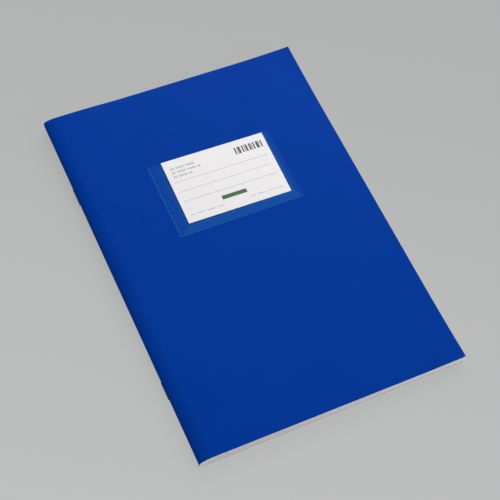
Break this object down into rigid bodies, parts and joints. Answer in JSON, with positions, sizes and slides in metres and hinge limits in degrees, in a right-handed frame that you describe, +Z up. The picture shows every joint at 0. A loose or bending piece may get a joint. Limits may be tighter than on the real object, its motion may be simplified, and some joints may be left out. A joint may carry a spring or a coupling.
{
  "type": "stapled exercise book",
  "caption": "Stapled exercise book with a folded plastic cover, nested paper leaves that open flat about the spine, and a clear label pocket from which a card slides.",
  "frame": {"origin": "middle of the closed book's footprint, on the surface it lies on", "axes": "+X from the spine to the fore-edge, +Y from the foot to the head, +Z up out of the front cover"},
  "size_m": [0.2086, 0.297, 0.0104],
  "materials": {
    "cover": "satin, fine grain",
    "film": "clear, gloss",
    "card": "white, printed",
    "paper": "uncoated, ruled",
    "wire": "galvanised wire"
  },
  "bodies": {
    "back_cover": {"back_cover": "cover"},
    "spine": {"lower_staple": "wire", "upper_staple": "wire", "sheet_folds": "paper", "cover_spine": "cover"},
    "front_cover": {"front_cover": "cover", "label_pocket": "film"},
    "label_card": {"label_card": "card"},
    "leaf_01": {"leaf_01": "paper"},
    "leaf_02": {"leaf_02": "paper"},
    "leaf_03": {"leaf_03": "paper"},
    "leaf_04": {"leaf_04": "paper"},
    "leaf_05": {"leaf_05": "paper"},
    "leaf_06": {"leaf_06": "paper"},
    "leaf_07": {"leaf_07": "paper"},
    "leaf_08": {"leaf_08": "paper"},
    "leaf_09": {"leaf_09": "paper"},
    "leaf_10": {"leaf_10": "paper"},
    "leaf_11": {"leaf_11": "paper"},
    "leaf_12": {"leaf_12": "paper"},
    "leaf_13": {"leaf_13": "paper"},
    "leaf_14": {"leaf_14": "paper"},
    "leaf_15": {"leaf_15": "paper"},
    "leaf_16": {"leaf_16": "paper"},
    "leaf_17": {"leaf_17": "paper"},
    "leaf_18": {"leaf_18": "paper"},
    "leaf_19": {"leaf_19": "paper"},
    "leaf_20": {"leaf_20": "paper"},
    "leaf_21": {"leaf_21": "paper"},
    "leaf_22": {"leaf_22": "paper"},
    "leaf_23": {"leaf_23": "paper"},
    "leaf_24": {"leaf_24": "paper"},
    "leaf_25": {"leaf_25": "paper"},
    "leaf_26": {"leaf_26": "paper"},
    "leaf_27": {"leaf_27": "paper"},
    "leaf_28": {"leaf_28": "paper"},
    "leaf_29": {"leaf_29": "paper"},
    "leaf_30": {"leaf_30": "paper"},
    "leaf_31": {"leaf_31": "paper"},
    "leaf_32": {"leaf_32": "paper"},
    "leaf_33": {"leaf_33": "paper"},
    "leaf_34": {"leaf_34": "paper"},
    "leaf_35": {"leaf_35": "paper"},
    "leaf_36": {"leaf_36": "paper"},
    "leaf_37": {"leaf_37": "paper"},
    "leaf_38": {"leaf_38": "paper"},
    "leaf_39": {"leaf_39": "paper"},
    "leaf_40": {"leaf_40": "paper"},
    "leaf_41": {"leaf_41": "paper"},
    "leaf_42": {"leaf_42": "paper"},
    "leaf_43": {"leaf_43": "paper"},
    "leaf_44": {"leaf_44": "paper"},
    "leaf_45": {"leaf_45": "paper"},
    "leaf_46": {"leaf_46": "paper"},
    "leaf_47": {"leaf_47": "paper"},
    "leaf_48": {"leaf_48": "paper"},
    "leaf_49": {"leaf_49": "paper"},
    "leaf_50": {"leaf_50": "paper"}
  },
  "joints": [
    {"name": "cover_hinge", "type": "hinge", "parent": "back_cover", "child": "front_cover", "pos_m": [-0.09993, 0, 0.0052], "axis": [0, -1, 0], "range_deg": [0, 179], "deforming": ["sheet_folds", "cover_spine"]},
    {"name": "spine_roll", "type": "hinge", "parent": "back_cover", "child": "spine", "pos_m": [-0.09993, 0, 0.0052], "axis": [0, -1, 0], "range_deg": [0, 89.5]},
    {"name": "leaf_01_turn", "type": "hinge", "parent": "back_cover", "child": "leaf_01", "pos_m": [-0.09993, 0, 0.0052], "axis": [0, -1, 0], "range_deg": [0, 178.64]},
    {"name": "leaf_50_turn", "type": "hinge", "parent": "back_cover", "child": "leaf_50", "pos_m": [-0.09993, 0, 0.0052], "axis": [0, -1, 0], "range_deg": [0, 0.358]},
    {"name": "leaf_02_turn", "type": "hinge", "parent": "back_cover", "child": "leaf_02", "pos_m": [-0.09993, 0, 0.0052], "axis": [0, -1, 0], "range_deg": [0, 178.28]},
    {"name": "leaf_49_turn", "type": "hinge", "parent": "back_cover", "child": "leaf_49", "pos_m": [-0.09993, 0, 0.0052], "axis": [0, -1, 0], "range_deg": [0, 0.716]},
    {"name": "leaf_03_turn", "type": "hinge", "parent": "back_cover", "child": "leaf_03", "pos_m": [-0.09993, 0, 0.0052], "axis": [0, -1, 0], "range_deg": [0, 177.93]},
    {"name": "leaf_48_turn", "type": "hinge", "parent": "back_cover", "child": "leaf_48", "pos_m": [-0.09993, 0, 0.0052], "axis": [0, -1, 0], "range_deg": [0, 1.07]},
    {"name": "leaf_04_turn", "type": "hinge", "parent": "back_cover", "child": "leaf_04", "pos_m": [-0.09993, 0, 0.0052], "axis": [0, -1, 0], "range_deg": [0, 177.57]},
    {"name": "leaf_47_turn", "type": "hinge", "parent": "back_cover", "child": "leaf_47", "pos_m": [-0.09993, 0, 0.0052], "axis": [0, -1, 0], "range_deg": [0, 1.43]},
    {"name": "leaf_05_turn", "type": "hinge", "parent": "back_cover", "child": "leaf_05", "pos_m": [-0.09993, 0, 0.0052], "axis": [0, -1, 0], "range_deg": [0, 177.21]},
    {"name": "leaf_46_turn", "type": "hinge", "parent": "back_cover", "child": "leaf_46", "pos_m": [-0.09993, 0, 0.0052], "axis": [0, -1, 0], "range_deg": [0, 1.79]},
    {"name": "leaf_06_turn", "type": "hinge", "parent": "back_cover", "child": "leaf_06", "pos_m": [-0.09993, 0, 0.0052], "axis": [0, -1, 0], "range_deg": [0, 176.85]},
    {"name": "leaf_45_turn", "type": "hinge", "parent": "back_cover", "child": "leaf_45", "pos_m": [-0.09993, 0, 0.0052], "axis": [0, -1, 0], "range_deg": [0, 2.15]},
    {"name": "leaf_07_turn", "type": "hinge", "parent": "back_cover", "child": "leaf_07", "pos_m": [-0.09993, 0, 0.0052], "axis": [0, -1, 0], "range_deg": [0, 176.49]},
    {"name": "leaf_44_turn", "type": "hinge", "parent": "back_cover", "child": "leaf_44", "pos_m": [-0.09993, 0, 0.0052], "axis": [0, -1, 0], "range_deg": [0, 2.51]},
    {"name": "leaf_08_turn", "type": "hinge", "parent": "back_cover", "child": "leaf_08", "pos_m": [-0.09993, 0, 0.0052], "axis": [0, -1, 0], "range_deg": [0, 176.14]},
    {"name": "leaf_43_turn", "type": "hinge", "parent": "back_cover", "child": "leaf_43", "pos_m": [-0.09993, 0, 0.0052], "axis": [0, -1, 0], "range_deg": [0, 2.86]},
    {"name": "leaf_09_turn", "type": "hinge", "parent": "back_cover", "child": "leaf_09", "pos_m": [-0.09993, 0, 0.0052], "axis": [0, -1, 0], "range_deg": [0, 175.78]},
    {"name": "leaf_42_turn", "type": "hinge", "parent": "back_cover", "child": "leaf_42", "pos_m": [-0.09993, 0, 0.0052], "axis": [0, -1, 0], "range_deg": [0, 3.22]},
    {"name": "leaf_10_turn", "type": "hinge", "parent": "back_cover", "child": "leaf_10", "pos_m": [-0.09993, 0, 0.0052], "axis": [0, -1, 0], "range_deg": [0, 175.42]},
    {"name": "leaf_41_turn", "type": "hinge", "parent": "back_cover", "child": "leaf_41", "pos_m": [-0.09993, 0, 0.0052], "axis": [0, -1, 0], "range_deg": [0, 3.58]},
    {"name": "leaf_11_turn", "type": "hinge", "parent": "back_cover", "child": "leaf_11", "pos_m": [-0.09993, 0, 0.0052], "axis": [0, -1, 0], "range_deg": [0, 175.06]},
    {"name": "leaf_40_turn", "type": "hinge", "parent": "back_cover", "child": "leaf_40", "pos_m": [-0.09993, 0, 0.0052], "axis": [0, -1, 0], "range_deg": [0, 3.94]},
    {"name": "leaf_12_turn", "type": "hinge", "parent": "back_cover", "child": "leaf_12", "pos_m": [-0.09993, 0, 0.0052], "axis": [0, -1, 0], "range_deg": [0, 174.7]},
    {"name": "leaf_39_turn", "type": "hinge", "parent": "back_cover", "child": "leaf_39", "pos_m": [-0.09993, 0, 0.0052], "axis": [0, -1, 0], "range_deg": [0, 4.3]},
    {"name": "leaf_13_turn", "type": "hinge", "parent": "back_cover", "child": "leaf_13", "pos_m": [-0.09993, 0, 0.0052], "axis": [0, -1, 0], "range_deg": [0, 174.35]},
    {"name": "leaf_38_turn", "type": "hinge", "parent": "back_cover", "child": "leaf_38", "pos_m": [-0.09993, 0, 0.0052], "axis": [0, -1, 0], "range_deg": [0, 4.65]},
    {"name": "leaf_14_turn", "type": "hinge", "parent": "back_cover", "child": "leaf_14", "pos_m": [-0.09993, 0, 0.0052], "axis": [0, -1, 0], "range_deg": [0, 173.99]},
    {"name": "leaf_37_turn", "type": "hinge", "parent": "back_cover", "child": "leaf_37", "pos_m": [-0.09993, 0, 0.0052], "axis": [0, -1, 0], "range_deg": [0, 5.01]},
    {"name": "leaf_15_turn", "type": "hinge", "parent": "back_cover", "child": "leaf_15", "pos_m": [-0.09993, 0, 0.0052], "axis": [0, -1, 0], "range_deg": [0, 173.63]},
    {"name": "leaf_36_turn", "type": "hinge", "parent": "back_cover", "child": "leaf_36", "pos_m": [-0.09993, 0, 0.0052], "axis": [0, -1, 0], "range_deg": [0, 5.37]},
    {"name": "leaf_16_turn", "type": "hinge", "parent": "back_cover", "child": "leaf_16", "pos_m": [-0.09993, 0, 0.0052], "axis": [0, -1, 0], "range_deg": [0, 173.27]},
    {"name": "leaf_35_turn", "type": "hinge", "parent": "back_cover", "child": "leaf_35", "pos_m": [-0.09993, 0, 0.0052], "axis": [0, -1, 0], "range_deg": [0, 5.73]},
    {"name": "leaf_17_turn", "type": "hinge", "parent": "back_cover", "child": "leaf_17", "pos_m": [-0.09993, 0, 0.0052], "axis": [0, -1, 0], "range_deg": [0, 172.91]},
    {"name": "leaf_34_turn", "type": "hinge", "parent": "back_cover", "child": "leaf_34", "pos_m": [-0.09993, 0, 0.0052], "axis": [0, -1, 0], "range_deg": [0, 6.09]},
    {"name": "leaf_18_turn", "type": "hinge", "parent": "back_cover", "child": "leaf_18", "pos_m": [-0.09993, 0, 0.0052], "axis": [0, -1, 0], "range_deg": [0, 172.56]},
    {"name": "leaf_33_turn", "type": "hinge", "parent": "back_cover", "child": "leaf_33", "pos_m": [-0.09993, 0, 0.0052], "axis": [0, -1, 0], "range_deg": [0, 6.44]},
    {"name": "leaf_19_turn", "type": "hinge", "parent": "back_cover", "child": "leaf_19", "pos_m": [-0.09993, 0, 0.0052], "axis": [0, -1, 0], "range_deg": [0, 172.2]},
    {"name": "leaf_32_turn", "type": "hinge", "parent": "back_cover", "child": "leaf_32", "pos_m": [-0.09993, 0, 0.0052], "axis": [0, -1, 0], "range_deg": [0, 6.8]},
    {"name": "leaf_20_turn", "type": "hinge", "parent": "back_cover", "child": "leaf_20", "pos_m": [-0.09993, 0, 0.0052], "axis": [0, -1, 0], "range_deg": [0, 171.84]},
    {"name": "leaf_31_turn", "type": "hinge", "parent": "back_cover", "child": "leaf_31", "pos_m": [-0.09993, 0, 0.0052], "axis": [0, -1, 0], "range_deg": [0, 7.16]},
    {"name": "leaf_21_turn", "type": "hinge", "parent": "back_cover", "child": "leaf_21", "pos_m": [-0.09993, 0, 0.0052], "axis": [0, -1, 0], "range_deg": [0, 171.48]},
    {"name": "leaf_30_turn", "type": "hinge", "parent": "back_cover", "child": "leaf_30", "pos_m": [-0.09993, 0, 0.0052], "axis": [0, -1, 0], "range_deg": [0, 7.52]},
    {"name": "leaf_22_turn", "type": "hinge", "parent": "back_cover", "child": "leaf_22", "pos_m": [-0.09993, 0, 0.0052], "axis": [0, -1, 0], "range_deg": [0, 171.12]},
    {"name": "leaf_29_turn", "type": "hinge", "parent": "back_cover", "child": "leaf_29", "pos_m": [-0.09993, 0, 0.0052], "axis": [0, -1, 0], "range_deg": [0, 7.88]},
    {"name": "leaf_23_turn", "type": "hinge", "parent": "back_cover", "child": "leaf_23", "pos_m": [-0.09993, 0, 0.0052], "axis": [0, -1, 0], "range_deg": [0, 170.77]},
    {"name": "leaf_28_turn", "type": "hinge", "parent": "back_cover", "child": "leaf_28", "pos_m": [-0.09993, 0, 0.0052], "axis": [0, -1, 0], "range_deg": [0, 8.23]},
    {"name": "leaf_24_turn", "type": "hinge", "parent": "back_cover", "child": "leaf_24", "pos_m": [-0.09993, 0, 0.0052], "axis": [0, -1, 0], "range_deg": [0, 170.41]},
    {"name": "leaf_27_turn", "type": "hinge", "parent": "back_cover", "child": "leaf_27", "pos_m": [-0.09993, 0, 0.0052], "axis": [0, -1, 0], "range_deg": [0, 8.59]},
    {"name": "leaf_25_turn", "type": "hinge", "parent": "back_cover", "child": "leaf_25", "pos_m": [-0.09993, 0, 0.0052], "axis": [0, -1, 0], "range_deg": [0, 170.05]},
    {"name": "leaf_26_turn", "type": "hinge", "parent": "back_cover", "child": "leaf_26", "pos_m": [-0.09993, 0, 0.0052], "axis": [0, -1, 0], "range_deg": [0, 8.95]},
    {"name": "card_slide", "type": "slide", "parent": "front_cover", "child": "label_card", "axis": [0, 1, 0], "range_m": [0, 0.06]}
  ],
  "couplings": [
    {"joint": "spine_roll", "follows": "cover_hinge", "ratio": 0.5},
    {"joint": "leaf_01_turn", "follows": "cover_hinge", "ratio": 0.998},
    {"joint": "leaf_50_turn", "follows": "cover_hinge", "ratio": 0.002},
    {"joint": "leaf_02_turn", "follows": "cover_hinge", "ratio": 0.996},
    {"joint": "leaf_49_turn", "follows": "cover_hinge", "ratio": 0.004},
    {"joint": "leaf_03_turn", "follows": "cover_hinge", "ratio": 0.994},
    {"joint": "leaf_48_turn", "follows": "cover_hinge", "ratio": 0.006},
    {"joint": "leaf_04_turn", "follows": "cover_hinge", "ratio": 0.992},
    {"joint": "leaf_47_turn", "follows": "cover_hinge", "ratio": 0.008},
    {"joint": "leaf_05_turn", "follows": "cover_hinge", "ratio": 0.99},
    {"joint": "leaf_46_turn", "follows": "cover_hinge", "ratio": 0.01},
    {"joint": "leaf_06_turn", "follows": "cover_hinge", "ratio": 0.988},
    {"joint": "leaf_45_turn", "follows": "cover_hinge", "ratio": 0.012},
    {"joint": "leaf_07_turn", "follows": "cover_hinge", "ratio": 0.986},
    {"joint": "leaf_44_turn", "follows": "cover_hinge", "ratio": 0.014},
    {"joint": "leaf_08_turn", "follows": "cover_hinge", "ratio": 0.984},
    {"joint": "leaf_43_turn", "follows": "cover_hinge", "ratio": 0.016},
    {"joint": "leaf_09_turn", "follows": "cover_hinge", "ratio": 0.982},
    {"joint": "leaf_42_turn", "follows": "cover_hinge", "ratio": 0.018},
    {"joint": "leaf_10_turn", "follows": "cover_hinge", "ratio": 0.98},
    {"joint": "leaf_41_turn", "follows": "cover_hinge", "ratio": 0.02},
    {"joint": "leaf_11_turn", "follows": "cover_hinge", "ratio": 0.978},
    {"joint": "leaf_40_turn", "follows": "cover_hinge", "ratio": 0.022},
    {"joint": "leaf_12_turn", "follows": "cover_hinge", "ratio": 0.976},
    {"joint": "leaf_39_turn", "follows": "cover_hinge", "ratio": 0.024},
    {"joint": "leaf_13_turn", "follows": "cover_hinge", "ratio": 0.974},
    {"joint": "leaf_38_turn", "follows": "cover_hinge", "ratio": 0.026},
    {"joint": "leaf_14_turn", "follows": "cover_hinge", "ratio": 0.972},
    {"joint": "leaf_37_turn", "follows": "cover_hinge", "ratio": 0.028},
    {"joint": "leaf_15_turn", "follows": "cover_hinge", "ratio": 0.97},
    {"joint": "leaf_36_turn", "follows": "cover_hinge", "ratio": 0.03},
    {"joint": "leaf_16_turn", "follows": "cover_hinge", "ratio": 0.968},
    {"joint": "leaf_35_turn", "follows": "cover_hinge", "ratio": 0.032},
    {"joint": "leaf_17_turn", "follows": "cover_hinge", "ratio": 0.966},
    {"joint": "leaf_34_turn", "follows": "cover_hinge", "ratio": 0.034},
    {"joint": "leaf_18_turn", "follows": "cover_hinge", "ratio": 0.964},
    {"joint": "leaf_33_turn", "follows": "cover_hinge", "ratio": 0.036},
    {"joint": "leaf_19_turn", "follows": "cover_hinge", "ratio": 0.962},
    {"joint": "leaf_32_turn", "follows": "cover_hinge", "ratio": 0.038},
    {"joint": "leaf_20_turn", "follows": "cover_hinge", "ratio": 0.96},
    {"joint": "leaf_31_turn", "follows": "cover_hinge", "ratio": 0.04},
    {"joint": "leaf_21_turn", "follows": "cover_hinge", "ratio": 0.958},
    {"joint": "leaf_30_turn", "follows": "cover_hinge", "ratio": 0.042},
    {"joint": "leaf_22_turn", "follows": "cover_hinge", "ratio": 0.956},
    {"joint": "leaf_29_turn", "follows": "cover_hinge", "ratio": 0.044},
    {"joint": "leaf_23_turn", "follows": "cover_hinge", "ratio": 0.954},
    {"joint": "leaf_28_turn", "follows": "cover_hinge", "ratio": 0.046},
    {"joint": "leaf_24_turn", "follows": "cover_hinge", "ratio": 0.952},
    {"joint": "leaf_27_turn", "follows": "cover_hinge", "ratio": 0.048},
    {"joint": "leaf_25_turn", "follows": "cover_hinge", "ratio": 0.95},
    {"joint": "leaf_26_turn", "follows": "cover_hinge", "ratio": 0.05}
  ]
}
